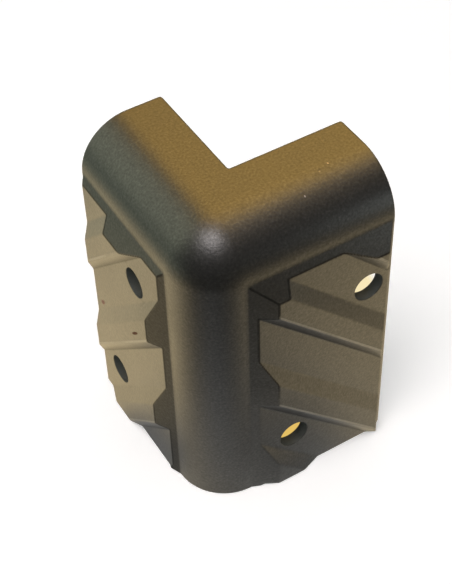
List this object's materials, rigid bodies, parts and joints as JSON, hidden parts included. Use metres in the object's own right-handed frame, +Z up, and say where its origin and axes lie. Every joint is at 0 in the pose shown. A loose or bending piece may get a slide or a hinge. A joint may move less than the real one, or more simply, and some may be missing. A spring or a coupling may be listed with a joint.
{
  "type": "speaker cabinet corner",
  "caption": "Three-way moulded corner protector for a loudspeaker cabinet, with a rounded post, stepped diagonal bands on both side faces, screw holes and an L-shaped top.",
  "frame": {"origin": "middle of the overall box, at the level of the feet", "axes": "+Z up along the post, towards the ball corner; +X and +Y along the two legs, away from the post"},
  "size_m": [0.0632, 0.0632, 0.1],
  "materials": {
    "black_plastic": "satin, fine moulded grain"
  },
  "bodies": {
    "root": {"corner_shell": "black_plastic"}
  },
  "joints": []
}
